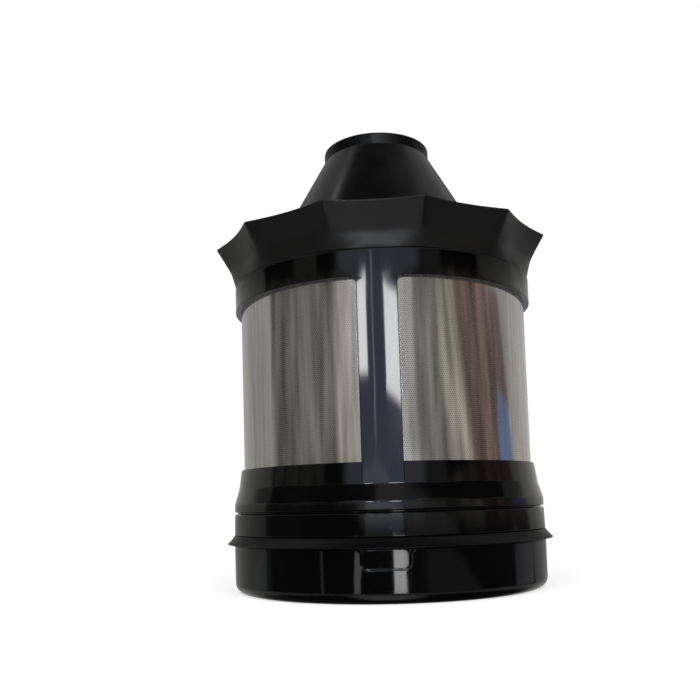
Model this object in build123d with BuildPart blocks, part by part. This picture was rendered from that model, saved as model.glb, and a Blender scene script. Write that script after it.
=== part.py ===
"""Cyclone filter element of a stick vacuum's dust cup, standing on its wide end with the cone up.

Millimetres, +Z up along the axis, front at -Y, origin at the middle of the base.
"""
from build123d import *
from math import asin, cos, degrees, radians, sin, tan
import os

os.makedirs("parts", exist_ok=True)

# Base: end cap, seal and collar
body_radius = 49.8
cap_height = 14.2
cap_corner = 3.0
cap_draft = 0.4
cap_wall = 2.0
cap_floor = 2.4
seal_height = 3.2
seal_reach = 2.2
seal_tip_drop = 2.6
collar_height = 6.5
housing_wall = 2.5
key_width = 12.7
key_height = 4.9
key_gap = 0.45
key_corner = 2.0
key_flare = 1.1

# Outlet grille in the end cap's floor
outlet_radius = 35.0
grille_ring_radius = 22.0
grille_hub_radius = 7.0
grille_bar = 1.8
grille_spokes = 8

# Cage
parting_gap = 0.5
parting_depth = 0.9
edge_break = 0.3
ring_height = 2.5
ring_round = 1.4
flare_height = 4.7
crease_inset = 1.35
sill_height = 5.9
sill_inset = 0.75
window_height = 52.3
window_corner = 2.5
band_height = 8.1
band_round = 0.5
cage_spread = 1.3
cage_wall = 1.8
pillar_count = 3
pillar_width = 11.5
ledge_width = 1.3
ledge_height = 1.2
deck_thickness = 1.6
deck_rim_height = 3.2
deck_rim_wall = 1.4

# Perforated steel sleeve
mesh_thickness = 0.4

# Soft skirt
skirt_points = 12
skirt_height = 13.2
skirt_step = 0.35
skirt_knee = 5.0
skirt_blend = 2.0
skirt_foot_angle = 16.0
skirt_flare_angle = 34.0
skirt_scallop = 3.2
skirt_foot_scallop = 0.04
skirt_sections = 10
skirt_wall = 1.6
skirt_edge = 1.1
skirt_hook_height = 1.1

# Cyclone and its cone
plenum_gap = 8.0
shell_wall = 1.6
flange_thickness = 2.2
shoulder_width = 2.6
shoulder_height = 1.8
cone_half_angle = 28.7
cone_reach = 37.4
neck_radius = 18.4
neck_height = 4.0
neck_round = 0.5
inlet_count = 6
inlet_width = 4.0
inlet_height = 16.0
inlet_lift = 3.0

# Vortex finder, gaskets and screws
finder_radius = 15.5
finder_wall = 1.5
finder_length = 44.0
finder_flare = 3.0
disc_thickness = 2.0
gasket_thickness = 1.0
cone_seal_height = 1.6
screw_count = 3
screw_radius = 1.3
screw_head_radius = 2.5
screw_head_height = 1.9
screw_grip = 7.0
boss_radius = 3.0
boss_height = 8.0

# Pleated fine filter
frame_wall = 1.5
frame_lip = 1.6
frame_lip_height = 1.2
pleat_pitch = 4.0
pleat_thickness = 2.6

# Twist lock between cage and base
spigot_wall = 2.8
lock_count = 3
lock_half_angle = 8.0
lock_turn = 20.0
lock_reach = 1.4
lock_height = 1.7
lock_ledge = 2.2

# Clearances
turn_gap = 0.35
face_gap = 0.1
seat_gap = 0.05
slip_gap = 0.3

front = -90.0
pillar_angles = [front + i * 360 / pillar_count for i in range(pillar_count)]
lock_angles = [front + (i + 0.5) * 360 / lock_count for i in range(lock_count)]
screw_angles = [front + (i + 0.5) * 360 / screw_count for i in range(screw_count)]

# Levels up the axis
seal_bottom = cap_height + seat_gap
seal_top = cap_height + seal_height
collar_top = seal_top + collar_height
housing_bottom = cap_floor + cap_corner
housing_step = collar_top - housing_wall
cage_bottom = collar_top + parting_gap
channel_bottom = cage_bottom + lock_ledge
lock_bottom = channel_bottom + slip_gap
channel_top = lock_bottom + lock_height + slip_gap
ring_top = cage_bottom + ring_height
crease = ring_top + flare_height
window_bottom = crease + sill_height
window_top = window_bottom + window_height
cage_top = window_top + band_height
skirt_top = cage_top + skirt_height
neck_top = skirt_top + cone_reach
neck_bottom = neck_top - neck_height
spigot_top = crease
flange_top = spigot_top + flange_thickness
ledge_bottom = flange_top + turn_gap
mesh_bottom = ledge_bottom + ledge_height
deck_bottom = cage_top - deck_thickness
gasket_bottom = spigot_top - gasket_thickness
disc_bottom = gasket_bottom - disc_thickness
frame_top = disc_bottom - boss_height - slip_gap

# Radii
crease_radius = body_radius - crease_inset
band_radius = crease_radius + cage_spread
cage_bore = crease_radius - cage_wall
spigot_radius = cage_bore - turn_gap
spigot_bore = spigot_radius - spigot_wall
cap_bore = body_radius - cap_wall
housing_radius = cap_bore - slip_gap
housing_bore = housing_radius - housing_wall
barrel_radius = cage_bore - seat_gap - mesh_thickness - plenum_gap
barrel_bore = barrel_radius - shell_wall
neck_bore = neck_radius - shell_wall
screw_circle = barrel_radius + plenum_gap / 2
flange_radius = spigot_radius - slip_gap
disc_radius = spigot_bore - slip_gap
deck_bore = barrel_radius + turn_gap
skirt_foot_radius = band_radius - skirt_step
deck_rim_radius = skirt_foot_radius - skirt_wall - 2 * seat_gap

cone_slope = tan(radians(cone_half_angle))
cone_bottom = neck_bottom - (barrel_radius - neck_radius) / cone_slope
cone_shift = shell_wall * tan(radians(cone_half_angle) / 2)


def radial_plane(angle):
    """Upright plane through the axis whose x runs outwards at the given angle."""
    return Plane.XZ.rotated((0, 0, angle))


def on_circle(radius, angle):
    """Point at a radius and an angle in degrees."""
    return (radius * cos(radians(angle)), radius * sin(radians(angle)))


def cage_radius(height):
    """Outer radius of the cage's slightly tapered wall at a height."""
    return crease_radius + cage_spread * (height - crease) / (cage_top - crease)


def skirt_radius(rise):
    """Radius of the skirt's points at a rise over its foot: the lean turns at the knee from foot to flare."""
    foot_lean = tan(radians(skirt_foot_angle))
    flare_lean = tan(radians(skirt_flare_angle))
    bend = min(max(rise - skirt_knee + skirt_blend / 2, 0), skirt_blend)
    past = max(rise - skirt_knee - skirt_blend / 2, 0)
    turned = bend**2 / (2 * skirt_blend) + past
    return skirt_foot_radius + rise * foot_lean + turned * (flare_lean - foot_lean)


def skirt_outline(point_radius, scallop):
    """Closed line of arcs from each point of the skirt to the next, drawn in midway by the scallop."""
    step = 360 / skirt_points
    for i in range(skirt_points):
        start = front + (i - 0.5) * step
        ThreePointArc(
            on_circle(point_radius, start),
            on_circle(point_radius - scallop, start + step / 2),
            on_circle(point_radius, start + step),
        )


# End cap: a shallow cup with a grille in its floor and three notches in its rim
with BuildPart() as end_cap:
    with BuildSketch(Plane.XZ) as cap_section:
        with BuildLine():
            Polyline(
                (0, 0),
                (body_radius - cap_draft, 0),
                (body_radius, cap_height),
                (cap_bore, cap_height),
                (cap_bore, cap_floor),
                (0, cap_floor),
                close=True,
            )
        make_face()
        lower_corner = cap_section.vertices().group_by(Axis.Y)[0].sort_by(Axis.X)[-1]
        fillet(lower_corner, radius=cap_corner)
    revolve(axis=Axis.Z)
    with BuildSketch(Plane.XY):
        Circle(outlet_radius)
        Circle(grille_ring_radius + grille_bar / 2, mode=Mode.SUBTRACT)
        Circle(grille_ring_radius - grille_bar / 2)
        Circle(grille_hub_radius, mode=Mode.SUBTRACT)
        with PolarLocations(0, grille_spokes // 2, angular_range=180):
            Rectangle(2 * outlet_radius, grille_bar, mode=Mode.SUBTRACT)
    extrude(amount=cap_floor, mode=Mode.SUBTRACT)
    notch_width = key_width + 2 * key_gap
    notch_depth = key_height + key_gap
    for angle in pillar_angles:
        with BuildSketch(radial_plane(angle - front)):
            with Locations((0, cap_height - notch_depth / 2)):
                RectangleRounded(notch_width, notch_depth, key_corner)
            with Locations((0, cap_height - notch_depth / 4)):
                Rectangle(notch_width, notch_depth / 2)
            with BuildLine():
                Polyline(
                    (-notch_width / 2 - key_flare, cap_height),
                    (-notch_width / 2, cap_height - key_flare),
                    (notch_width / 2, cap_height - key_flare),
                    (notch_width / 2 + key_flare, cap_height),
                    close=True,
                )
            make_face()
        extrude(amount=body_radius + 1, mode=Mode.SUBTRACT)
end_cap.part.label = "end_cap"
export_step(end_cap.part, "parts/end_cap.step")

# Base housing: skirt inside the cap, collar, spigot with lock lugs, screw bosses and key lugs
with BuildPart() as base_housing:
    with BuildSketch(Plane.XZ):
        with BuildLine():
            Polyline(
                (housing_bore, housing_bottom),
                (housing_radius, housing_bottom),
                (housing_radius, seal_top),
                (body_radius, seal_top),
                (body_radius, collar_top),
                (spigot_radius, collar_top),
                (spigot_radius, spigot_top),
                (spigot_bore, spigot_top),
                (spigot_bore, housing_step),
                (housing_bore, housing_step),
                close=True,
            )
        make_face()
    revolve(axis=Axis.Z)
    collar_edges = base_housing.edges().filter_by(GeomType.CIRCLE).group_by(SortBy.RADIUS)[-1]
    chamfer(collar_edges, length=edge_break)
    for angle in pillar_angles:
        with BuildSketch(radial_plane(angle - front).offset(housing_bore)):
            with Locations((0, cap_height - key_height / 2)):
                RectangleRounded(key_width, key_height, key_corner - key_gap)
        extrude(amount=body_radius)
    with BuildSketch(Plane.XY):
        Circle(2 * body_radius)
        Circle(body_radius, mode=Mode.SUBTRACT)
    extrude(amount=collar_top, mode=Mode.SUBTRACT)
    for angle in lock_angles:
        with BuildSketch(radial_plane(angle - lock_half_angle)):
            with BuildLine():
                Polyline(
                    (spigot_radius - lock_reach, lock_bottom),
                    (spigot_radius + lock_reach, lock_bottom),
                    (spigot_radius + lock_reach, lock_bottom + lock_height),
                    (spigot_radius - lock_reach, lock_bottom + lock_height),
                    close=True,
                )
            make_face()
        revolve(axis=Axis.Z, revolution_arc=2 * lock_half_angle)
    with BuildSketch(Plane.XY.offset(disc_bottom - boss_height)):
        with PolarLocations(screw_circle, screw_count, start_angle=screw_angles[0]):
            Circle(boss_radius)
    extrude(amount=boss_height)
    with BuildSketch(Plane.XY.offset(disc_bottom)):
        with PolarLocations(screw_circle, screw_count, start_angle=screw_angles[0]):
            Circle(screw_radius + seat_gap)
    extrude(amount=-screw_grip - slip_gap, mode=Mode.SUBTRACT)
base_housing.part.label = "base_housing"
export_step(base_housing.part, "parts/base_housing.step")

# Lip seal: a pointed ring clamped between the cap's rim and the collar
with BuildPart() as lip_seal:
    with BuildSketch(Plane.XZ):
        with BuildLine():
            Polyline(
                (housing_radius + seat_gap, seal_bottom),
                (body_radius, seal_bottom),
                (body_radius + seal_reach, seal_top - seal_tip_drop),
                (body_radius, seal_top - seat_gap),
                (housing_radius + seat_gap, seal_top - seat_gap),
                close=True,
            )
        make_face()
    revolve(axis=Axis.Z)
lip_seal.part.label = "lip_seal"
export_step(lip_seal.part, "parts/lip_seal.step")

# Filter frame: a channel-section ring that stands on the end cap's floor
frame_radius = housing_bore - slip_gap
frame_bore = frame_radius - frame_wall
with BuildPart() as filter_frame:
    with BuildSketch(Plane.XZ):
        with BuildLine():
            Polyline(
                (frame_bore - frame_lip, cap_floor),
                (frame_radius, cap_floor),
                (frame_radius, frame_top),
                (frame_bore - frame_lip, frame_top),
                (frame_bore - frame_lip, frame_top - frame_lip_height),
                (frame_bore, frame_top - frame_lip_height),
                (frame_bore, cap_floor + frame_lip_height),
                (frame_bore - frame_lip, cap_floor + frame_lip_height),
                close=True,
            )
        make_face()
    revolve(axis=Axis.Z)
filter_frame.part.label = "filter_frame"
export_step(filter_frame.part, "parts/filter_frame.step")

# Pleat pack: one folded sheet cut to the frame's round
pleat_low = cap_floor + frame_lip_height + seat_gap
pleat_high = frame_top - frame_lip_height - seat_gap
pleat_count = 2 * int(frame_bore / pleat_pitch) + 3
fold_places = [(i - pleat_count / 2) * pleat_pitch for i in range(pleat_count)]
with BuildPart() as pleat_pack:
    with BuildSketch(Plane.XZ):
        with BuildLine():
            under_side = []
            for place in fold_places:
                under_side.append((place, pleat_low))
                under_side.append((place + pleat_pitch / 2, pleat_high - pleat_thickness))
            upper_side = [(x, z + pleat_thickness) for x, z in reversed(under_side)]
            Polyline(*under_side, *upper_side, close=True)
        make_face()
    extrude(amount=body_radius, both=True)
    with BuildSketch(Plane.XY):
        Circle(frame_bore - slip_gap)
    extrude(amount=frame_top, mode=Mode.INTERSECT)
pleat_pack.part.label = "pleat_pack"
export_step(pleat_pack.part, "parts/pleat_pack.step")

# Vortex finder: a disc on the bosses with a tube up into the cyclone
with BuildPart() as vortex_finder:
    with BuildSketch(Plane.XZ):
        with BuildLine():
            Polyline(
                (finder_radius - finder_wall + finder_flare, disc_bottom),
                (disc_radius, disc_bottom),
                (disc_radius, gasket_bottom),
                (finder_radius + finder_flare, gasket_bottom),
                (finder_radius, gasket_bottom + finder_flare),
                (finder_radius, gasket_bottom + finder_length),
                (finder_radius - finder_wall, gasket_bottom + finder_length),
                (finder_radius - finder_wall, disc_bottom + finder_flare),
                close=True,
            )
        make_face()
    revolve(axis=Axis.Z)
    with BuildSketch(Plane.XY.offset(disc_bottom)):
        with PolarLocations(screw_circle, screw_count, start_angle=screw_angles[0]):
            Circle(screw_radius + slip_gap)
    extrude(amount=disc_thickness, mode=Mode.SUBTRACT)
vortex_finder.part.label = "vortex_finder"
export_step(vortex_finder.part, "parts/vortex_finder.step")

# Finder gasket: a flat ring between the finder's disc and the cyclone's flange
with BuildPart() as finder_gasket:
    with BuildSketch(Plane.XY.offset(gasket_bottom)):
        Circle(disc_radius)
        Circle(barrel_bore, mode=Mode.SUBTRACT)
        with PolarLocations(screw_circle, screw_count, start_angle=screw_angles[0]):
            Circle(screw_radius + slip_gap, mode=Mode.SUBTRACT)
    extrude(amount=gasket_thickness)
finder_gasket.part.label = "finder_gasket"
export_step(finder_gasket.part, "parts/finder_gasket.step")

# Cyclone body: flange, barrel with tangential inlets, shoulder, cone and neck in one moulding
seal_seat = deck_bottom - turn_gap - cone_seal_height
shoulder_radius = barrel_radius + shoulder_width
with BuildPart() as cyclone_body:
    with BuildSketch(Plane.XZ):
        with BuildLine():
            Polyline(
                (barrel_bore, spigot_top),
                (flange_radius, spigot_top),
                (flange_radius, flange_top),
                (barrel_radius, flange_top),
                (barrel_radius, seal_seat - shoulder_height - shoulder_width),
                (shoulder_radius, seal_seat - shoulder_height),
                (shoulder_radius, seal_seat),
                (barrel_radius, seal_seat),
                (barrel_radius, cone_bottom),
                (neck_radius, neck_bottom),
                (neck_radius, neck_top),
                (neck_bore, neck_top),
                (neck_bore, neck_bottom - cone_shift),
                (barrel_bore, cone_bottom - cone_shift),
                close=True,
            )
        make_face()
    revolve(axis=Axis.Z)
    neck_edges = cyclone_body.edges().filter_by_position(Axis.Z, neck_top - neck_round, neck_top)
    fillet(neck_edges, radius=neck_round)
    with BuildSketch(Plane.XY.offset(flange_top + inlet_lift)):
        with PolarLocations(0, inlet_count):
            with Locations((barrel_radius / 2, barrel_bore - inlet_width / 2)):
                Rectangle(barrel_radius, inlet_width)
    extrude(amount=inlet_height, mode=Mode.SUBTRACT)
    with BuildSketch(Plane.XY.offset(spigot_top)):
        with PolarLocations(screw_circle, screw_count, start_angle=screw_angles[0]):
            Circle(screw_radius + slip_gap)
    extrude(amount=flange_thickness, mode=Mode.SUBTRACT)
cyclone_body.part.label = "cyclone_body"
export_step(cyclone_body.part, "parts/cyclone_body.step")

# Fixing screws: flange, gasket and disc are clamped to the bosses
with BuildPart() as fixing_screws:
    with BuildSketch(Plane.XY.offset(flange_top)):
        with PolarLocations(screw_circle, screw_count, start_angle=screw_angles[0]):
            Circle(screw_head_radius)
    extrude(amount=screw_head_height)
    head_edges = fixing_screws.edges().group_by(Axis.Z)[-1]
    chamfer(head_edges, length=screw_head_height / 2)
    with BuildSketch(Plane.XY.offset(flange_top)):
        with PolarLocations(screw_circle, screw_count, start_angle=screw_angles[0]):
            Circle(screw_radius)
    extrude(amount=disc_bottom - screw_grip - flange_top)
fixing_screws.part.label = "fixing_screws"
export_step(fixing_screws.part, "parts/fixing_screws.step")

# Cone seal: a ring on the shoulder, just under the cage's deck
with BuildPart() as cone_seal:
    with BuildSketch(Plane.XY.offset(seal_seat)):
        Circle(shoulder_radius)
        Circle(barrel_radius + seat_gap, mode=Mode.SUBTRACT)
    extrude(amount=cone_seal_height)
cone_seal.part.label = "cone_seal"
export_step(cone_seal.part, "parts/cone_seal.step")

# Mesh cage: flared ring, sloped sill, pillars, band and deck in one moulding
window_arc = 360 / pillar_count - 2 * degrees(asin(pillar_width / 2 / crease_radius))
lock_clear = degrees(slip_gap / spigot_radius)
channel_radius = spigot_radius + lock_reach + slip_gap
with BuildPart() as mesh_cage:
    with BuildSketch(Plane.XZ):
        with BuildLine():
            Polyline(
                (cage_bore, collar_top + face_gap),
                (body_radius - parting_depth, collar_top + face_gap),
                (body_radius - parting_depth, cage_bottom),
                (body_radius, cage_bottom),
                (body_radius, ring_top),
                (crease_radius, crease),
                (band_radius, cage_top),
                (deck_rim_radius, cage_top),
                (deck_rim_radius, cage_top + deck_rim_height),
                (deck_rim_radius - deck_rim_wall, cage_top + deck_rim_height),
                (deck_rim_radius - deck_rim_wall, cage_top),
                (deck_bore, cage_top),
                (deck_bore, deck_bottom),
                (cage_radius(deck_bottom) - cage_wall, deck_bottom),
                (cage_radius(mesh_bottom) - cage_wall, mesh_bottom),
                (cage_bore - ledge_width, mesh_bottom),
                (cage_bore - ledge_width, ledge_bottom),
                (cage_bore, ledge_bottom),
                close=True,
            )
        make_face()
    revolve(axis=Axis.Z)
    rim_edges = mesh_cage.edges().filter_by(GeomType.CIRCLE)
    foot_edges = rim_edges.filter_by_position(Axis.Z, cage_bottom - seat_gap, cage_bottom + seat_gap)
    chamfer(foot_edges.sort_by(SortBy.RADIUS)[-1], length=edge_break)
    fillet(rim_edges.filter_by_position(Axis.Z, ring_top - seat_gap, ring_top + seat_gap), radius=ring_round)
    band_edge = rim_edges.filter_by_position(Axis.Z, cage_top - seat_gap, cage_top + seat_gap)
    fillet(band_edge.sort_by(SortBy.RADIUS)[-1], radius=band_round)
    for angle in pillar_angles:
        with BuildSketch(radial_plane(angle + 180 / pillar_count - window_arc / 2)):
            with BuildLine():
                Polyline(
                    (cage_bore - ledge_width, window_bottom),
                    (crease_radius - sill_inset, window_bottom),
                    (crease_radius, crease),
                    (2 * body_radius, crease),
                    (2 * body_radius, window_top),
                    (cage_bore - ledge_width, window_top),
                    close=True,
                )
            make_face()
        revolve(axis=Axis.Z, revolution_arc=window_arc, mode=Mode.SUBTRACT)
    corner_edges = mesh_cage.edges().filter_by(GeomType.LINE)
    fillet(
        corner_edges.filter_by_position(Axis.Z, window_top - seat_gap, window_top + seat_gap),
        radius=window_corner,
    )
    entry_half_angle = lock_half_angle + lock_clear
    for angle in lock_angles:
        with BuildSketch(radial_plane(angle - lock_turn - entry_half_angle)):
            with BuildLine():
                Polyline(
                    (spigot_radius, channel_bottom),
                    (channel_radius, channel_bottom),
                    (channel_radius, channel_top),
                    (spigot_radius, channel_top),
                    close=True,
                )
            make_face()
        revolve(axis=Axis.Z, revolution_arc=lock_turn + 2 * entry_half_angle, mode=Mode.SUBTRACT)
        with BuildSketch(radial_plane(angle - lock_turn - entry_half_angle)):
            with BuildLine():
                Polyline(
                    (spigot_radius, collar_top),
                    (channel_radius, collar_top),
                    (channel_radius, channel_top),
                    (spigot_radius, channel_top),
                    close=True,
                )
            make_face()
        revolve(axis=Axis.Z, revolution_arc=2 * entry_half_angle, mode=Mode.SUBTRACT)
mesh_cage.part.label = "mesh_cage"
export_step(mesh_cage.part, "parts/mesh_cage.step")

# Mesh screen: a rolled steel sleeve between the cage's ledge and deck
screen_top = deck_bottom - slip_gap
with BuildPart() as mesh_screen:
    with BuildSketch(Plane.XZ):
        with BuildLine():
            Polyline(
                (cage_radius(mesh_bottom) - cage_wall - seat_gap - mesh_thickness, mesh_bottom),
                (cage_radius(mesh_bottom) - cage_wall - seat_gap, mesh_bottom),
                (cage_radius(screen_top) - cage_wall - seat_gap, screen_top),
                (cage_radius(screen_top) - cage_wall - seat_gap - mesh_thickness, screen_top),
                close=True,
            )
        make_face()
    revolve(axis=Axis.Z)
mesh_screen.part.label = "mesh_screen"
export_step(mesh_screen.part, "parts/mesh_screen.step")

# Dust skirt: a soft collar over the deck's rim that flares to a ring of points
hook_bottom = cage_top + deck_rim_height + seat_gap
skirt_rises = [skirt_height * i / skirt_sections for i in range(skirt_sections + 1)]
with BuildPart() as dust_skirt:
    for inset, loft_mode in ((0, Mode.ADD), (1, Mode.SUBTRACT)):
        for rise in skirt_rises:
            share = rise / skirt_height
            wall = skirt_wall + (skirt_edge - skirt_wall) * share
            scallop = skirt_foot_scallop + (skirt_scallop - skirt_foot_scallop) * share
            with BuildSketch(Plane.XY.offset(cage_top + rise)):
                with BuildLine():
                    skirt_outline(skirt_radius(rise) - inset * wall, scallop)
                make_face()
        loft(mode=loft_mode)
    with BuildSketch(Plane.XZ):
        with BuildLine():
            Polyline(
                (deck_rim_radius - deck_rim_wall, hook_bottom),
                (skirt_foot_radius - skirt_wall / 2, hook_bottom),
                (skirt_foot_radius - skirt_wall / 2, hook_bottom + skirt_hook_height),
                (deck_rim_radius - deck_rim_wall, hook_bottom + skirt_hook_height),
                close=True,
            )
        make_face()
    revolve(axis=Axis.Z)
dust_skirt.part.label = "dust_skirt"
export_step(dust_skirt.part, "parts/dust_skirt.step")
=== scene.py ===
"""Looks of a stick vacuum's cyclone filter element: skirt, steel sleeve, lip seal, finishes and studio."""

import bpy
import numpy as np
from bpy.props import FloatProperty, FloatVectorProperty, IntProperty, PointerProperty
from mathutils import Matrix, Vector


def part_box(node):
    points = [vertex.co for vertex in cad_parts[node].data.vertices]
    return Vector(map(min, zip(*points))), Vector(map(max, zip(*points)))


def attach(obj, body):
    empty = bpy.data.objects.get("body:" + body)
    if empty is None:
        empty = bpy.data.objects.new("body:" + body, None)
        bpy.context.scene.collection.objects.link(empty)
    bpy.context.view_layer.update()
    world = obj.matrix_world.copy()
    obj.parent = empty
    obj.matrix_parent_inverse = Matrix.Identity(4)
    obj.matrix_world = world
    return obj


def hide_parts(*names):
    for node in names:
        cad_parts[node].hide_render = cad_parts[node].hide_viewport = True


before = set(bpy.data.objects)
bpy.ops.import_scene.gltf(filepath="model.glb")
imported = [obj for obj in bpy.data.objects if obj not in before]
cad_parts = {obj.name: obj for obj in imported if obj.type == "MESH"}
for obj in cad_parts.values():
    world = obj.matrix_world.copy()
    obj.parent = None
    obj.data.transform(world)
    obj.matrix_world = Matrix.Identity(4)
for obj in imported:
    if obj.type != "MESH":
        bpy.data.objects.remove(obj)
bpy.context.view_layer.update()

bl_info = {
    "name": "Cyclone Filter Element",
    "version": (1, 0, 0),
    "blender": (4, 5, 0),
    "location": "View3D > Sidebar > Filter",
    "description": "Builds the skirt, steel sleeve, lip seal, finishes and studio of a filter element",
    "category": "Add Mesh",
}

MM = 0.001
# Angle of the front pillar round the axis
FRONT = np.radians(-90.0)
# Degrees in a radian
DEGREES = 180.0 / np.pi


# Node trees


class Wire:
    """An output socket of a node tree. Sums, products and the like add Math nodes."""

    def __init__(self, tree, socket=None):
        self.tree = tree
        self.socket = socket

    def make(self, kind, settings=None, inputs=None, out=0):
        """Add a node: its settings first, then the values or links of its sockets; returns one output."""
        node = self.tree.nodes.new(kind)
        for key, value in (settings or {}).items():
            if key == "stops":
                ramp = node.color_ramp
                while len(ramp.elements) < len(value):
                    ramp.elements.new(0.5)
                for element, (position, tint) in zip(ramp.elements, value):
                    element.position = position
                    element.color = (*tint, 1.0)
            else:
                setattr(node, key, value)
        for key, value in (inputs or {}).items():
            if isinstance(value, Wire):
                self.tree.links.new(value.socket, node.inputs[key])
            else:
                node.inputs[key].default_value = value
        return Wire(self.tree, node.outputs[out] if len(node.outputs) else None)

    def math(self, operation, *values):
        """A Math node on wires and numbers."""
        return self.make("ShaderNodeMath", {"operation": operation}, dict(enumerate(values)))

    def smooth(self, low, high):
        """0 below low and 1 above high, with an eased step between them."""
        inputs = {"Value": self, "From Min": low, "From Max": high}
        return self.make("ShaderNodeMapRange", {"interpolation_type": "SMOOTHSTEP"}, inputs)

    def band(self, start, full, fade, end):
        """1 from full to fade, with eased steps to 0 at start and end."""
        return self.smooth(start, full) * (1.0 - self.smooth(fade, end))

    def mix(self, first, second):
        """The colour that goes from first to second as this wire goes from 0 to 1."""
        first, second = (c if isinstance(c, Wire) else (*c, 1.0) for c in (first, second))
        return self.make("ShaderNodeMix", {"data_type": "RGBA"}, {0: self, 6: first, 7: second}, 2)

    def noise(self, scale, detail=2.0, roughness=0.5):
        """Noise read at this wire's place."""
        inputs = {"Vector": self, "Scale": scale, "Detail": detail, "Roughness": roughness}
        return self.make("ShaderNodeTexNoise", None, inputs, "Fac")

    def stretch(self, x, y, z):
        """This wire's place with each axis multiplied by its own factor."""
        return self.make("ShaderNodeVectorMath", {"operation": "MULTIPLY"}, {0: self, 1: (x, y, z)})

    def axes(self):
        """The three components of this wire's place."""
        node = self.make("ShaderNodeSeparateXYZ", None, {0: self}).socket.node
        return [Wire(self.tree, socket) for socket in node.outputs]

    def bump(self, strength, distance, normal=None):
        """A normal raised by this wire's height."""
        inputs = {"Height": self, "Strength": strength, "Distance": distance}
        if normal is not None:
            inputs["Normal"] = normal
        return self.make("ShaderNodeBump", None, inputs)

    def __add__(self, other):
        return self.math("ADD", self, other)

    def __radd__(self, other):
        return self.math("ADD", other, self)

    def __sub__(self, other):
        return self.math("SUBTRACT", self, other)

    def __rsub__(self, other):
        return self.math("SUBTRACT", other, self)

    def __mul__(self, other):
        return self.math("MULTIPLY", self, other)

    def __rmul__(self, other):
        return self.math("MULTIPLY", other, self)

    def __truediv__(self, other):
        return self.math("DIVIDE", self, other)

    def __rtruediv__(self, other):
        return self.math("DIVIDE", other, self)

    def __abs__(self):
        return self.math("ABSOLUTE", self)


def new_material(name):
    """An empty material and a wire that starts its tree."""
    material = bpy.data.materials.new(name)
    material.use_nodes = True
    material.node_tree.nodes.clear()
    return material, Wire(material.node_tree)


def place(start):
    """Object coordinates, in metres."""
    return start.make("ShaderNodeTexCoord", None, None, "Object")


def surface(start, inputs):
    """The Principled shader with these sockets, joined to the material's output."""
    shader = start.make("ShaderNodeBsdfPrincipled", None, inputs)
    start.make("ShaderNodeOutputMaterial", None, {"Surface": shader})


def moulded_plastic(name, colour, haze, roughness, specular, edge, peel):
    """Moulded plastic: faint smudges change the gloss, specks of dust lie on it, edges are softly broken
    and the foot that it stands on is scuffed."""
    material, start = new_material(name)
    where = place(start)
    smudge = where.noise(38.0, 4.0, 0.6).smooth(0.42, 0.72)
    wipe = where.stretch(1.0, 1.0, 0.18).noise(260.0, 3.0, 0.6).smooth(0.5, 0.75)
    specks = where.noise(2600.0, 1.0).smooth(0.74, 0.8)
    scuffed = 1.0 - where.axes()[2].smooth(1.0 * MM, 3.4 * MM)
    edges = start.make("ShaderNodeBevel", {"samples": 6}, {"Radius": edge})
    surface(start, {
        "Base Color": (specks * 0.35 + smudge * 0.12).mix(colour, haze),
        "Roughness": roughness * (1.0 + smudge * 0.7 + wipe * 0.35) + specks * 0.3 + scuffed * 0.12,
        "Specular IOR Level": specular,
        "Normal": where.noise(700.0, 2.0).bump(peel, 0.00005, edges),
    })
    return material


def soft_rubber(name, colour, dust, roughness, specular, grain):
    """Matte elastomer: fine moulded grain, slightly paler where dust has settled."""
    material, start = new_material(name)
    where = place(start)
    settled = where.noise(60.0, 5.0, 0.65).smooth(0.45, 0.8)
    specks = where.noise(1900.0, 2.0).smooth(0.66, 0.76)
    pores = where.noise(grain, 3.0, 0.6)
    surface(start, {
        "Base Color": (settled * 0.35 + specks * 0.3).mix(colour, dust),
        "Roughness": roughness + (pores - 0.5) * 0.2 + settled * 0.08,
        "Specular IOR Level": specular,
        "Normal": pores.bump(0.25, 0.00006),
    })
    return material


def perforated_steel(name, colour, shade, pitch, hole):
    """Thin polished steel with staggered rows of round holes and faint upright rolling marks. The holes are
    not cut: each is a dim grey spot of painted shade that stands for the dark inside seen through it.
    """
    material, start = new_material(name)
    wrap = start.make("ShaderNodeUVMap", {"uv_map": "wrap"})
    across, up, _ = wrap.axes()
    row_height = pitch * 0.866
    row = up / row_height
    shift = start.math("MODULO", start.math("FLOOR", row), 2.0) * 0.5
    cell_x = (start.math("FRACT", across / pitch + shift) - 0.5) * pitch
    cell_y = (start.math("FRACT", row) - 0.5) * row_height
    reach = start.math("SQRT", cell_x * cell_x + cell_y * cell_y)
    metal = reach.smooth(hole * 0.8, hole * 1.15)
    rim = reach.smooth(hole * 0.9, hole * 1.5)
    rolled = wrap.stretch(1.0, 0.05, 0.0).noise(480.0, 3.0, 0.55)
    broad = wrap.stretch(1.0, 0.12, 0.0).noise(110.0, 2.0, 0.5)
    tone = ((rolled - 0.5) * 1.4 + (broad - 0.5) * 0.9 + 0.5).smooth(0.0, 1.0)
    # Painted shade: the dim grey drawn in each hole in place of the dark inside seen through it
    hole_painted_shade = (0.13, 0.128, 0.12)
    surface(start, {
        "Base Color": metal.mix(hole_painted_shade, tone.mix(shade, colour)),
        "Metallic": metal,
        "Roughness": 0.2 - metal * 0.13 + (rolled - 0.5) * 0.04,
        "Normal": rim.bump(0.02, 0.00004),
    })
    return material


def pleated_media(name, colour, soiled):
    """Non-woven filter sheet: tangled fibres, greyer in patches where fine dust has gathered."""
    material, start = new_material(name)
    where = place(start)
    fibres = where.stretch(1.0, 0.25, 1.0).noise(2400.0, 4.0, 0.7)
    patches = where.noise(45.0, 4.0, 0.6).smooth(0.45, 0.75)
    surface(start, {
        "Base Color": (patches * 0.5 + fibres * 0.3).mix(colour, soiled),
        "Roughness": 0.85 + (fibres - 0.5) * 0.2,
        "Specular IOR Level": 0.2,
        "Normal": fibres.bump(0.5, 0.0001),
    })
    return material


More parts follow.
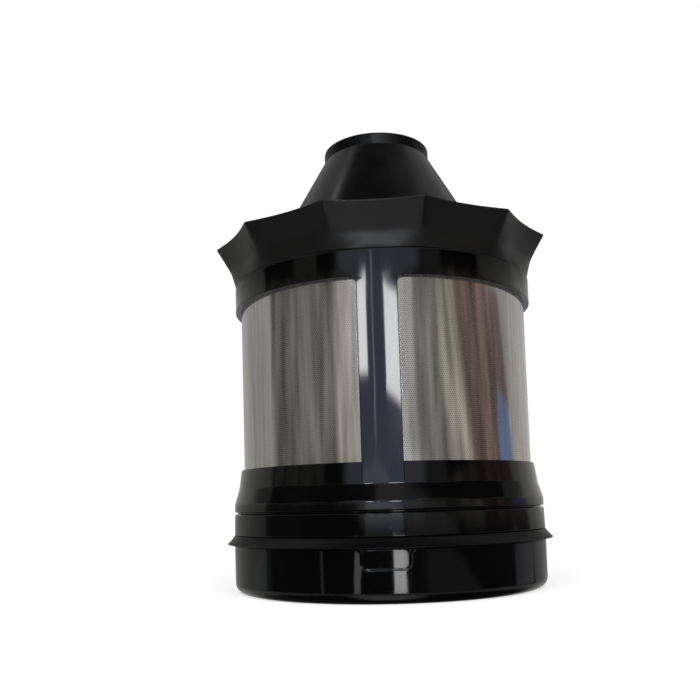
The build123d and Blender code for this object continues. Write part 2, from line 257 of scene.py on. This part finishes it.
def plated_steel(name, colour, dull):
    """Zinc-plated screw steel with a fine uneven sheen."""
    material, start = new_material(name)
    where = place(start)
    sheen = where.noise(900.0, 3.0, 0.6)
    surface(start, {
        "Base Color": sheen.mix(colour, dull),
        "Metallic": 1.0,
        "Roughness": 0.25 + sheen * 0.2,
        "Normal": sheen.bump(0.1, 0.00003),
    })
    return material


# Surfaces


def grid_faces(rows, columns):
    """Quads of a grid that closes on itself along both parameters."""
    index = np.pad(np.arange(rows * columns).reshape(rows, columns), ((0, 1), (0, 1)), mode="wrap")
    return np.stack([index[:-1, :-1], index[:-1, 1:], index[1:, 1:], index[1:, :-1]], -1).reshape(-1, 4)


def closed_surface(name, points, wrap=None):
    """Mesh object from points[section place, angle place], closed both ways; wrap gives UV in metres."""
    rows, columns = points.shape[:2]
    mesh = bpy.data.meshes.new(name)
    mesh.from_pydata(points.reshape(-1, 3), [], grid_faces(rows, columns))
    if wrap is not None:
        corners = [wrap[:-1, :-1], wrap[:-1, 1:], wrap[1:, 1:], wrap[1:, :-1]]
        layer = mesh.uv_layers.new(name="wrap")
        layer.uv.foreach_set("vector", np.stack(corners, 2).astype(np.float32).ravel())
    mesh.polygons.foreach_set("use_smooth", np.ones(len(mesh.polygons), dtype=bool))
    mesh.update()
    mesh.validate()
    item = bpy.data.objects.new(name, mesh)
    bpy.context.scene.collection.objects.link(item)
    return item


def round_points(radius, angle, height):
    """Points at these radii, angles and heights, broadcast to one grid."""
    radius, angle, height = np.broadcast_arrays(radius, angle, height)
    return np.stack([radius * np.cos(angle), radius * np.sin(angle), height], -1)


def rounded_section(corners, radii, steps=4, sides=(0.03, 0.97)):
    """Closed section line whose corners are arcs tangent to both sides: each arc turns, at an even rate, from
    the end of one side to the start of the next about the point that lies its radius from both. Points at the
    given shares of each side keep its shading flat."""
    corners = np.asarray(corners, float)
    radii = np.asarray(radii, float)[:, None]
    before = np.roll(corners, 1, 0) - corners
    after = np.roll(corners, -1, 0) - corners
    before /= np.linalg.norm(before, axis=1, keepdims=True)
    after /= np.linalg.norm(after, axis=1, keepdims=True)
    half = np.arccos(np.clip((before * after).sum(1, keepdims=True), -1, 1)) / 2
    middle = before + after
    middle /= np.linalg.norm(middle, axis=1, keepdims=True)
    centre = corners + middle * radii / np.sin(half)
    start = corners + before * radii / np.tan(half) - centre
    end = corners + after * radii / np.tan(half) - centre
    turn = (np.pi - 2 * half)[:, None]
    share = np.linspace(0, 1, steps)[None, :, None]
    arcs = start[:, None] * np.sin((1 - share) * turn) + end[:, None] * np.sin(share * turn)
    arcs = centre[:, None] + arcs / np.sin(turn)
    share = np.asarray(sides)[None, :, None]
    straights = arcs[:, -1:] * (1 - share) + np.roll(arcs[:, :1], -1, 0) * share
    return np.concatenate([arcs, straights], 1).reshape(-1, 2)


def dress(item, material, body, slot, *nodes):
    """Give a piece its material and body, in place of the nodes it stands for."""
    item.data.materials.append(material)
    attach(item, body)
    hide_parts(*nodes)


# Settings


def length_prop(name, description, default):
    """A length in metres."""
    return FloatProperty(name=name, description=description, default=default, unit="LENGTH", precision=5)


def angle_prop(name, description, default):
    """An angle, whose default is given in degrees."""
    return FloatProperty(name=name, description=description, default=np.radians(default), subtype="ANGLE")


def colour_prop(name, description, default):
    """A colour in linear light."""
    return FloatVectorProperty(
        name=name, description=description, default=default, subtype="COLOR", min=0, max=1)


def number_prop(name, description, default):
    """A plain number, zero or more."""
    return FloatProperty(name=name, description=description, default=default, min=0.0)


class SkirtSettings(bpy.types.PropertyGroup):
    """Sizes of the soft skirt."""

    points: IntProperty(name="Points", description="Points round the skirt's rim", default=12, min=3)
    knee: length_prop("Knee", "Height over the foot where the flare starts", 5.0 * MM)
    blend: length_prop("Blend", "Height over which the lean turns at the knee", 2.0 * MM)
    foot_lean: angle_prop("Foot Lean", "Lean of the foot from upright, at the points", 20.0)
    flare_lean: angle_prop("Flare Lean", "Lean of the flare from upright, at the points", 32.2)
    scallop: length_prop("Scallop", "How far the rim draws in midway between two points", 3.2 * MM)
    onset: number_prop("Onset", "Power by which the scallop grows from foot to rim", 0.7)
    wall: length_prop("Wall", "Thickness at the foot", 1.6 * MM)
    rim: length_prop("Rim", "Thickness at the rim", 1.1 * MM)
    foot_radius: length_prop("Foot Radius", "Outer radius at the foot", 49.4 * MM)
    hook_bore: length_prop("Hook Bore", "Inner radius of the hook over the cage's rim", 46.3 * MM)
    hook_seat: length_prop("Hook Seat", "Radius of the recess over the cage's rim", 47.75 * MM)
    hook_low: length_prop("Hook Underside", "Height of the hook's underside over the foot", 3.25 * MM)
    hook_high: length_prop("Hook Top", "Height of the hook's top over the foot", 4.35 * MM)


class SleeveSettings(bpy.types.PropertyGroup):
    """Sizes of the perforated steel sleeve."""

    low_radius: length_prop("Lower Radius", "Outer radius at the lower edge", 46.67 * MM)
    high_radius: length_prop("Upper Radius", "Outer radius at the upper edge", 47.86 * MM)
    thickness: length_prop("Thickness", "Thickness of the sheet", 0.4 * MM)
    pitch: length_prop("Pitch", "Distance from hole to hole", 0.65 * MM)
    hole: length_prop("Hole", "Radius of a hole", 0.15 * MM)


class SealSettings(bpy.types.PropertyGroup):
    """Sizes of the lip seal."""

    bore: length_prop("Bore", "Inner radius, where the ring is clamped", 47.55 * MM)
    body: length_prop("Body", "Radius where the lip starts", 49.8 * MM)
    reach: length_prop("Reach", "How far the lip stands out from the body", 2.2 * MM)
    tip_drop: length_prop("Tip Drop", "How far the tip lies under the ring's top", 2.55 * MM)
    tip_round: length_prop("Tip Round", "Radius of the tip", 0.16 * MM)


class FinishSettings(bpy.types.PropertyGroup):
    """Colours of the finishes."""

    gloss: colour_prop("Gloss Black", "Polished mouldings", (0.0011, 0.0011, 0.0012))
    haze: colour_prop("Haze", "Dust and smudges on the mouldings", (0.012, 0.0121, 0.0128))
    cone: colour_prop("Cone Black", "Satin cone", (0.003, 0.003, 0.0032))
    skirt: colour_prop("Skirt", "Soft skirt", (0.0045, 0.0044, 0.0044))
    skirt_dust: colour_prop("Skirt Dust", "Dust on the soft skirt", (0.011, 0.0108, 0.0106))
    seal: colour_prop("Seal", "Lip seal", (0.002, 0.002, 0.0021))
    seal_dust: colour_prop("Seal Dust", "Dust on the lip seal", (0.006, 0.006, 0.0058))
    inner: colour_prop("Inner Plastic", "Mouldings inside", (0.03, 0.031, 0.034))
    steel: colour_prop("Steel", "Bright steel of the sleeve", (0.58, 0.565, 0.53))
    steel_shade: colour_prop("Steel Shade", "Darker rolling marks of the sleeve", (0.34, 0.33, 0.3))
    media: colour_prop("Media", "Clean filter sheet", (0.78, 0.78, 0.75))
    soiled: colour_prop("Soiled Media", "Filter sheet with fine dust", (0.5, 0.49, 0.46))
    zinc: colour_prop("Zinc", "Plated screws", (0.6, 0.6, 0.61))
    zinc_dull: colour_prop("Dull Zinc", "Dull patches of the plating", (0.42, 0.42, 0.43))


class StudioSettings(bpy.types.PropertyGroup):
    """Camera, floor and light."""

    distance: length_prop("Distance", "From the element's axis to the camera, level", 263.3 * MM)
    height: length_prop("Height", "Camera over the floor", 26.97 * MM)
    swing: angle_prop("Swing", "Camera's place round the element", 1.25)
    yaw: angle_prop("Yaw", "Camera's turn to the right", -2.428)
    pitch: angle_prop("Pitch", "Camera's tilt upwards", 10.927)
    roll: angle_prop("Roll", "Camera's roll", -1.519)
    lens: FloatProperty(name="Lens", description="Focal length", default=40.34, unit="CAMERA")
    floor: colour_prop("Floor", "Colour of the floor", (0.8, 0.8, 0.8))
    glow: number_prop("Glow", "Light that the floor adds for the camera", 0.62)
    fill: number_prop("Fill", "Soft light from the front and above", 1.35)


# Operators


class FILTER_OT_dust_skirt(bpy.types.Operator):
    """Build the soft skirt with its ring of points"""

    bl_idname = "cyclone_filter.dust_skirt"
    bl_label = "Dust Skirt"

    def execute(self, context):
        s = context.scene.filter_skirt
        finish = context.scene.filter_finish
        low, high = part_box("dust_skirt")
        item = closed_surface("soft_dust_skirt", skirt_points(s, low.z, high.z - low.z))
        material = soft_rubber("skirt_rubber_finish", finish.skirt, finish.skirt_dust,
                               roughness=0.38, specular=0.28, grain=2600.0)
        dress(item, material, "shroud", "skirt_rubber", "dust_skirt")
        return {"FINISHED"}


def skirt_points(s, foot, height):
    """Skirt surface over section place and angle. The outer radius at a rise leans out slowly up to the knee
    and faster above it, with a parabola between the two. Between two points it draws in by the scallop times
    a power of the share of the height times one minus the square of the way from the middle to the point,
    eased over at the tip. Near the foot a cosine wave takes the place of that parabola, so the points fade
    into a round foot. The inner side lies one wall further in, the rim is a half round, and a flat hook
    closes the foot."""
    up_steps, rim_steps, down_steps, point_steps = 40, 10, 30, 24
    up = np.linspace(0, 1, up_steps)
    over = np.linspace(0, np.pi, rim_steps)[1:-1]
    down = np.linspace(1, 0, down_steps)
    half_rim = s.rim / 2
    side = height - half_rim
    hook_share = s.hook_high / side
    inner = (hook_share + down * (1 - hook_share)) * side
    hook = np.array([s.hook_high, s.hook_low, s.hook_low, 0.0])
    hook_radius = np.array([s.hook_bore, s.hook_bore, s.hook_seat, s.hook_seat])
    rise = np.concatenate([up * side, side + half_rim * np.sin(over), inner, hook])
    inner_wall = s.wall + (s.rim - s.wall) * inner / height
    inset = np.concatenate([up * 0, half_rim * (1 - np.cos(over)), inner_wall, hook * 0])

    foot_lean, flare_lean = np.tan(s.foot_lean), np.tan(s.flare_lean)
    bend = np.clip(rise - s.knee + s.blend / 2, 0, s.blend)
    past = np.clip(rise - s.knee - s.blend / 2, 0, None)
    turned = (bend**2 / (2 * s.blend) + past) * (flare_lean - foot_lean)
    tip_radius = s.foot_radius + rise * foot_lean + turned

    way = np.sin(np.pi / 2 * np.linspace(-1, 1, point_steps, endpoint=False))
    step = np.pi / s.points
    angles = (FRONT + 2 * step * np.arange(s.points)[:, None] + step * way).ravel()
    soft_tip = 0.05
    eased = way**2 - np.clip(np.abs(way) - (1 - soft_tip), 0, None) ** 2 / soft_tip
    waved = (1 + np.cos(np.pi * way)) / 2
    crisp = np.clip(rise / (2 * s.knee), 0, 1)[:, None]
    crisp = crisp**2 * (3 - 2 * crisp)
    drawn = np.tile(waved + crisp * (1 - eased - waved), s.points)
    scallop = s.scallop * (rise / height) ** s.onset
    radius = tip_radius[:, None] - scallop[:, None] * drawn - inset[:, None]
    radius[-len(hook):] = hook_radius[:, None]
    return round_points(radius, angles, foot + rise[:, None])


class FILTER_OT_steel_sleeve(bpy.types.Operator):
    """Build the perforated steel sleeve behind the cage's windows"""

    bl_idname = "cyclone_filter.steel_sleeve"
    bl_label = "Steel Sleeve"

    def execute(self, context):
        s = context.scene.filter_sleeve
        finish = context.scene.filter_finish
        low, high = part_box("mesh_screen")
        corners = [
            (s.low_radius, low.z),
            (s.high_radius, high.z),
            (s.high_radius - s.thickness, high.z),
            (s.low_radius - s.thickness, low.z),
        ]
        edge_round = s.thickness / 4
        around_steps = 360
        section = rounded_section(corners, [edge_round] * len(corners))
        around = np.linspace(0, 2 * np.pi, around_steps + 1)
        points = round_points(section[:, :1], around[:-1], section[:, 1:])
        heights = np.append(section[:, 1], section[0, 1])
        wrap = np.stack(np.meshgrid(around * s.high_radius, heights), -1)
        item = closed_surface("steel_sleeve", points, wrap)
        material = perforated_steel("sleeve_steel_finish", finish.steel, finish.steel_shade, s.pitch, s.hole)
        dress(item, material, "shroud", "mesh_steel", "mesh_screen")
        return {"FINISHED"}


class FILTER_OT_lip_seal(bpy.types.Operator):
    """Build the pointed ring between the end cap and the collar"""

    bl_idname = "cyclone_filter.lip_seal"
    bl_label = "Lip Seal"

    def execute(self, context):
        s = context.scene.filter_seal
        finish = context.scene.filter_finish
        low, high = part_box("lip_seal")
        item = closed_surface("soft_lip_seal", seal_points(s, low.z, high.z))
        material = soft_rubber("seal_silicone_finish", finish.seal, finish.seal_dust,
                               roughness=0.38, specular=0.16, grain=1800.0)
        dress(item, material, "base", "seal_silicone", "lip_seal")
        return {"FINISHED"}


def seal_points(s, low, high):
    """Seal surface over section place and angle: a short slope under the lip, a round tip, and an upper face
    that falls outwards by a power of the way from the body, so it is slightly hollow."""
    tip_steps, face_steps, around_steps = 9, 14, 240
    tip_from, tip_to = -1.15, 0.85
    foot_step = 0.2 * MM
    hollow = 1.3
    tip_height = high - s.tip_drop
    tip_centre = s.body + s.reach - s.tip_round
    turn = np.linspace(tip_from, tip_to, tip_steps)
    tip = np.stack([tip_centre + s.tip_round * np.cos(turn), tip_height + s.tip_round * np.sin(turn)], -1)
    way = np.linspace(0, 1, face_steps)[1:]
    upper = np.stack([
        tip[-1, 0] + (s.body - tip[-1, 0]) * way,
        tip[-1, 1] + (high - tip[-1, 1]) * way**hollow,
    ], -1)
    ring = [(s.body, low), (s.body + foot_step, low)]
    section = np.concatenate([ring, tip, upper, [(s.bore, high), (s.bore, low)]])
    angles = np.linspace(0, 2 * np.pi, around_steps, endpoint=False)
    return round_points(section[:, :1], angles, section[:, 1:])


class FILTER_OT_mouldings(bpy.types.Operator):
    """Finish the rigid mouldings and the parts inside"""

    bl_idname = "cyclone_filter.mouldings"
    bl_label = "Mouldings"

    def execute(self, context):
        f = context.scene.filter_finish
        gloss = moulded_plastic("gloss_black_finish", f.gloss, f.haze,
                                roughness=0.05, specular=0.3, edge=0.35 * MM, peel=0.012)
        cone = moulded_plastic("cone_black_finish", f.cone, f.haze,
                               roughness=0.14, specular=0.3, edge=0.3 * MM, peel=0.03)
        inner = moulded_plastic("inner_plastic_finish", f.inner, f.haze,
                                roughness=0.4, specular=0.4, edge=0.2 * MM, peel=0.08)
        gasket = soft_rubber("gasket_rubber_finish", f.skirt, f.skirt_dust,
                             roughness=0.6, specular=0.4, grain=2200.0)
        media = pleated_media("filter_media_finish", f.media, f.soiled)
        zinc = plated_steel("screw_steel_finish", f.zinc, f.zinc_dull)
        finishes = {
            "end_cap": gloss,
            "base_housing": gloss,
            "mesh_cage": gloss,
            "cyclone_body": cone,
            "vortex_finder": inner,
            "filter_frame": inner,
            "finder_gasket": gasket,
            "cone_seal": gasket,
            "pleat_pack": media,
            "fixing_screws": zinc,
        }
        for node, material in finishes.items():
            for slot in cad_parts[node].material_slots:
                slot.material = material
        return {"FINISHED"}


class FILTER_OT_studio(bpy.types.Operator):
    """Set up the camera, the pale floor and the light"""

    bl_idname = "cyclone_filter.studio"
    bl_label = "Studio"

    def execute(self, context):
        s = context.scene.filter_studio
        scene = context.scene
        scene.view_settings.view_transform = "Standard"
        add_camera(scene, s)
        add_floor(s)
        scene.world = studio_world(s)
        return {"FINISHED"}


def add_camera(scene, s):
    """Camera at a distance in front, turned by yaw, pitch and roll, and swung round the element's axis."""
    forward = np.array([np.sin(s.yaw) * np.cos(s.pitch), np.cos(s.yaw) * np.cos(s.pitch), np.sin(s.pitch)])
    right = np.array([np.cos(s.yaw), -np.sin(s.yaw), 0.0])
    up = np.cross(right, forward)
    rolled_right = np.cos(s.roll) * right + np.sin(s.roll) * up
    rolled_up = np.cos(s.roll) * up - np.sin(s.roll) * right
    turned = np.eye(4)
    turned[:3, :3] = np.stack([rolled_right, rolled_up, -forward], 1)
    turned[:3, 3] = (0.0, -s.distance, s.height)
    data = bpy.data.cameras.new("studio_camera")
    data.sensor_width = 36.0
    data.lens = s.lens
    data.clip_start = 0.01
    camera = bpy.data.objects.new("studio_camera", data)
    scene.collection.objects.link(camera)
    camera.matrix_world = Matrix.Rotation(s.swing, 4, "Z") @ Matrix(turned.tolist())
    scene.camera = camera


def add_floor(s):
    """Flat pale floor that looks white to the camera and keeps the element's shadow."""
    size = 6.0
    mesh = bpy.data.meshes.new("floor")
    corners = [(-size, -size, 0), (size, -size, 0), (size, size, 0), (-size, size, 0)]
    mesh.from_pydata(corners, [], [(0, 1, 2, 3)])
    floor = bpy.data.objects.new("floor", mesh)
    bpy.context.scene.collection.objects.link(floor)
    material, start = new_material("floor_finish")
    seen = start.make("ShaderNodeLightPath", None, None, "Is Camera Ray")
    lit = start.make("ShaderNodeBsdfDiffuse", None, {"Color": (*s.floor, 1.0)})
    glow = start.make("ShaderNodeEmission", None, {"Color": (1.0, 1.0, 1.0, 1.0), "Strength": s.glow})
    both = start.make("ShaderNodeAddShader", None, {0: lit, 1: glow})
    shown = start.make("ShaderNodeMixShader", None, {0: seen, 1: lit, 2: both})
    start.make("ShaderNodeOutputMaterial", None, {"Surface": shown})
    mesh.materials.append(material)
    floor.visible_glossy = False


# Tints of the walls round the room, as stops of azimuth from the front in degrees
WALLS = [
    (-98, (0.5, 0.5, 0.48)),
    (-94, (0.2, 0.2, 0.19)),
    (-74, (0.2, 0.2, 0.185)),
    (-70, (0.29, 0.285, 0.26)),
    (-48, (0.24, 0.23, 0.21)),
    (-44, (0.22, 0.21, 0.19)),
    (-37, (0.24, 0.23, 0.205)),
    (-34, (0.46, 0.44, 0.41)),
    (-15.2, (0.84, 0.82, 0.79)),
    (-13.6, (1.06, 1.32, 1.95)),
    (10.4, (1.06, 1.32, 1.95)),
    (12, (0.78, 0.78, 0.77)),
    (23, (0.58, 0.58, 0.56)),
    (26, (0.3, 0.29, 0.27)),
    (44, (0.26, 0.25, 0.23)),
    (49, (0.5, 0.48, 0.42)),
    (62, (0.52, 0.5, 0.43)),
    (66, (0.22, 0.155, 0.132)),
    (108, (0.23, 0.155, 0.145)),
    (112, (0.5, 0.5, 0.48)),
]
# Tints of the dim strip over the walls
STRIP = [
    (-68, (0.02, 0.02, 0.022)),
    (-64, (0.24, 0.24, 0.22)),
    (-48, (0.28, 0.28, 0.26)),
    (-45, (0.02, 0.02, 0.022)),
    (-33, (0.02, 0.02, 0.022)),
    (-27, (0.9, 0.97, 1.2)),
    (26, (0.9, 0.97, 1.2)),
    (32, (0.24, 0.24, 0.24)),
    (46, (0.24, 0.24, 0.24)),
    (50, (0.02, 0.02, 0.022)),
]
# Bright panes: start and end azimuth, soft edge, lower and upper elevation in degrees, light
PANES = {
    "left window": (-13.9, -9.2, 0.5, 7.0, 14.9, (25.0, 25.0, 25.0)),
    "right window": (2.9, 10.5, 0.5, 5.6, 14.5, (25.0, 25.0, 25.0)),
    "slit between the windows": (-5.5, -4.6, 0.5, 2.0, 16.0, (3.3, 3.3, 3.3)),
    "low right window": (4.0, 12.3, 0.8, -10.0, -1.8, (11.5, 11.5, 11.5)),
    "low left window": (-24.0, -19.5, 1.0, -10.0, -1.4, (2.0, 2.0, 2.0)),
    "blue panel": (99.0, 116.0, 3.0, -0.4, 17.5, (0.0, 0.14, 0.42)),
    "right rear wall": (118.0, 175.0, 6.0, 0.0, 29.0, (0.12, 0.11, 0.1)),
    "low left slit": (-48.0, -46.0, 0.6, -10.0, 0.5, (0.5, 0.5, 0.5)),
    "low right shelf": (26.0, 70.0, 8.0, -10.0, -1.0, (0.17, 0.17, 0.16)),
    "right shelf": (14.0, 50.0, 6.0, -3.0, 4.0, (0.26, 0.26, 0.26)),
    "right corner": (100.0, 124.0, 4.0, -10.0, 9.0, (0.3, 0.3, 0.34)),
    "left corner": (-112.0, -92.0, 3.0, -10.0, 5.0, (0.08, 0.14, 0.12)),
    "window sill": (-15.0, 11.0, 2.0, -2.6, 0.8, (0.3, 0.36, 0.42)),
    "warm sill edge": (-15.0, 11.0, 2.0, -1.4, 0.8, (0.6, 0.45, 0.0)),
    "left slit overhead": (-103.0, -99.0, 1.5, 50.0, 90.0, (2.0, 2.0, 2.0)),
    "upper middle": (-8.0, 34.0, 6.0, 25.0, 35.0, (0.48, 0.48, 0.48)),
    "upper middle foot": (-8.0, 34.0, 6.0, 22.5, 27.8, (1.8, 1.8, 1.8)),
    "upper right": (34.0, 85.0, 10.0, 24.3, 31.5, (0.8, 0.8, 0.8)),
    "upper left": (-44.0, -14.0, 10.0, 24.3, 29.3, (0.4, 0.4, 0.4)),
    "near floor": (-26.0, 26.0, 20.0, -75.0, -26.0, (1.0, 1.0, 1.0)),
}
# Tints of the rest of the room
DARK = (0.03, 0.031, 0.036)
CEILING = (0.6, 0.6, 0.61)
SKYLIGHT = (1.3, 1.3, 1.32)
GROUND = (0.42, 0.42, 0.41)
ROOM_BEHIND = (0.5, 0.5, 0.48)


def tint_round(start, stops, azimuth):
    """Tint that goes straight from stop to stop with the azimuth, given in degrees."""
    shares = [((stop + 180) / 360, tint) for stop, tint in stops]
    return start.make("ShaderNodeValToRGB", {"stops": shares}, {"Fac": (azimuth + 180.0) / 360.0})


def drawn_room(start, azimuth, elevation):
    """Light of the room that reflections see, over azimuth from the front and elevation in degrees. The walls
    have a tint by azimuth, which leans with elevation on the right, times a noise in upright streaks at both
    sides. A dim strip lies over them, a ceiling higher up, a skylight behind and a pale ground below. A room
    behind starts at azimuths that move with elevation and fades in steps towards floor and zenith. Each pane
    adds light between two azimuths, from a level foot to a top that falls away to both sides."""
    leaning = azimuth + (elevation - 7.5) * azimuth.smooth(40.0, 60.0)
    walls = tint_round(start, WALLS, leaning)
    strip = tint_round(start, STRIP, leaning)
    upright = start.make("ShaderNodeCombineXYZ", None, {0: leaning / 7.0, 1: elevation / 12.0})
    streaks = upright.noise(1.0, 3.0)
    clear = 1.0 - abs(azimuth + 2.0).smooth(16.0, 20.0) + abs(azimuth).smooth(96.0, 100.0)
    waver = start.math("MAXIMUM", 1.0 + (streaks - 0.5) * (1.0 - clear) * 3.6, 0.3)
    walls = start.make("ShaderNodeVectorMath", {"operation": "SCALE"}, {0: walls, "Scale": waver})

    ceiling = elevation.band(31.0, 38.0, 56.0, 66.0) * (1.0 - abs(azimuth).smooth(95.0, 110.0) * 0.5)
    skylight = elevation.band(60.0, 66.0, 80.0, 84.0) * abs(azimuth).smooth(125.0, 140.0)
    ground = elevation.band(-34.0, -22.0, -14.0, -11.0)
    over_walls = elevation.smooth(14.0, 14.8)
    under_strip = 1.0 - elevation.smooth(21.0, 26.0)
    raised = elevation - (1.0 - azimuth.smooth(-24.0, -16.0)) * 1.5
    room = ceiling.mix(DARK, CEILING)
    room = skylight.mix(room, SKYLIGHT)
    room = ground.mix(room, GROUND)
    room = (over_walls * under_strip).mix(room, strip)
    room = (raised.smooth(-2.5, -0.5) * (1.0 - over_walls)).mix(room, walls)

    far = (elevation.smooth(13.0, 14.5) - elevation.smooth(18.0, 21.0)) * 26.0
    far = far - elevation.smooth(25.0, 40.0) * 13.0
    behind = 1.0 - azimuth.smooth(-99.0, -95.0) + (leaning + far).smooth(109.0, 115.0)
    strength = 0.08 + elevation.smooth(-40.0, -24.0) * 0.92 - elevation.smooth(-16.0, -11.0) * 0.4
    strength = strength + elevation.smooth(-0.5, 1.5) * 0.4 - elevation.smooth(13.0, 17.0) * 0.6
    strength = strength - elevation.smooth(22.0, 40.0) * 0.12 - elevation.smooth(60.0, 80.0) * 0.14
    room = (behind * strength).mix(room, ROOM_BEHIND)

    gable = elevation + abs(azimuth + 5.0) * 0.105
    brink = 0.4
    for first, last, soft, low, high, light in PANES.values():
        edge = soft / 2
        across = azimuth.smooth(first - edge, first + edge) - azimuth.smooth(last - edge, last + edge)
        along = elevation.smooth(low - brink, low + brink) - gable.smooth(high - brink, high + brink)
        pane = (across * along).mix((0.0, 0.0, 0.0), light)
        room = start.make("ShaderNodeVectorMath", {"operation": "ADD"}, {0: room, 1: pane})
    return room


def studio_world(s):
    """White to the camera. Matte surfaces get a soft light that grows from a share of the fill to all of it
    towards the front and above, and reflections see the drawn room."""
    shade = 0.15
    world = bpy.data.worlds.new("studio_world")
    world.use_nodes = True
    world.node_tree.nodes.clear()
    start = Wire(world.node_tree)
    x, y, z = start.make("ShaderNodeTexCoord", None, None, "Generated").axes()
    azimuth = start.math("ARCTAN2", x, 0.0 - y) * DEGREES
    elevation = start.math("ARCSINE", z) * DEGREES
    soft_light = (z * 0.5 - y * 0.87).smooth(0.1, 1.0).mix([s.fill * shade] * 3, [s.fill] * 3)
    glossy = start.make("ShaderNodeLightPath", None, None, "Is Glossy Ray")
    camera = start.make("ShaderNodeLightPath", None, None, "Is Camera Ray")
    lit = glossy.mix(soft_light, drawn_room(start, azimuth, elevation))
    light = start.make("ShaderNodeBackground", None, {"Color": camera.mix(lit, (1.0, 1.0, 1.0))})
    start.make("ShaderNodeOutputWorld", None, {"Surface": light})
    return world


class FILTER_PT_panel(bpy.types.Panel):
    """Lists the element's pieces"""

    bl_idname = "FILTER_PT_panel"
    bl_label = "Cyclone Filter Element"
    bl_space_type = "VIEW_3D"
    bl_region_type = "UI"
    bl_category = "Filter"

    def draw(self, context):
        for step in STEPS:
            self.layout.operator(f"cyclone_filter.{step}")


STEPS = ["studio", "mouldings", "steel_sleeve", "lip_seal", "dust_skirt"]
SETTINGS = {
    "filter_skirt": SkirtSettings,
    "filter_sleeve": SleeveSettings,
    "filter_seal": SealSettings,
    "filter_finish": FinishSettings,
    "filter_studio": StudioSettings,
}
CLASSES = [
    *SETTINGS.values(),
    FILTER_OT_studio,
    FILTER_OT_mouldings,
    FILTER_OT_steel_sleeve,
    FILTER_OT_lip_seal,
    FILTER_OT_dust_skirt,
    FILTER_PT_panel,
]


def register():
    for item in CLASSES:
        bpy.utils.register_class(item)
    for name, group in SETTINGS.items():
        setattr(bpy.types.Scene, name, PointerProperty(type=group))


def unregister():
    for name in SETTINGS:
        delattr(bpy.types.Scene, name)
    for item in reversed(CLASSES):
        bpy.utils.unregister_class(item)


def main():
    register()
    for step in STEPS:
        getattr(bpy.ops.cyclone_filter, step)()


if __name__ == "__main__":
    main()
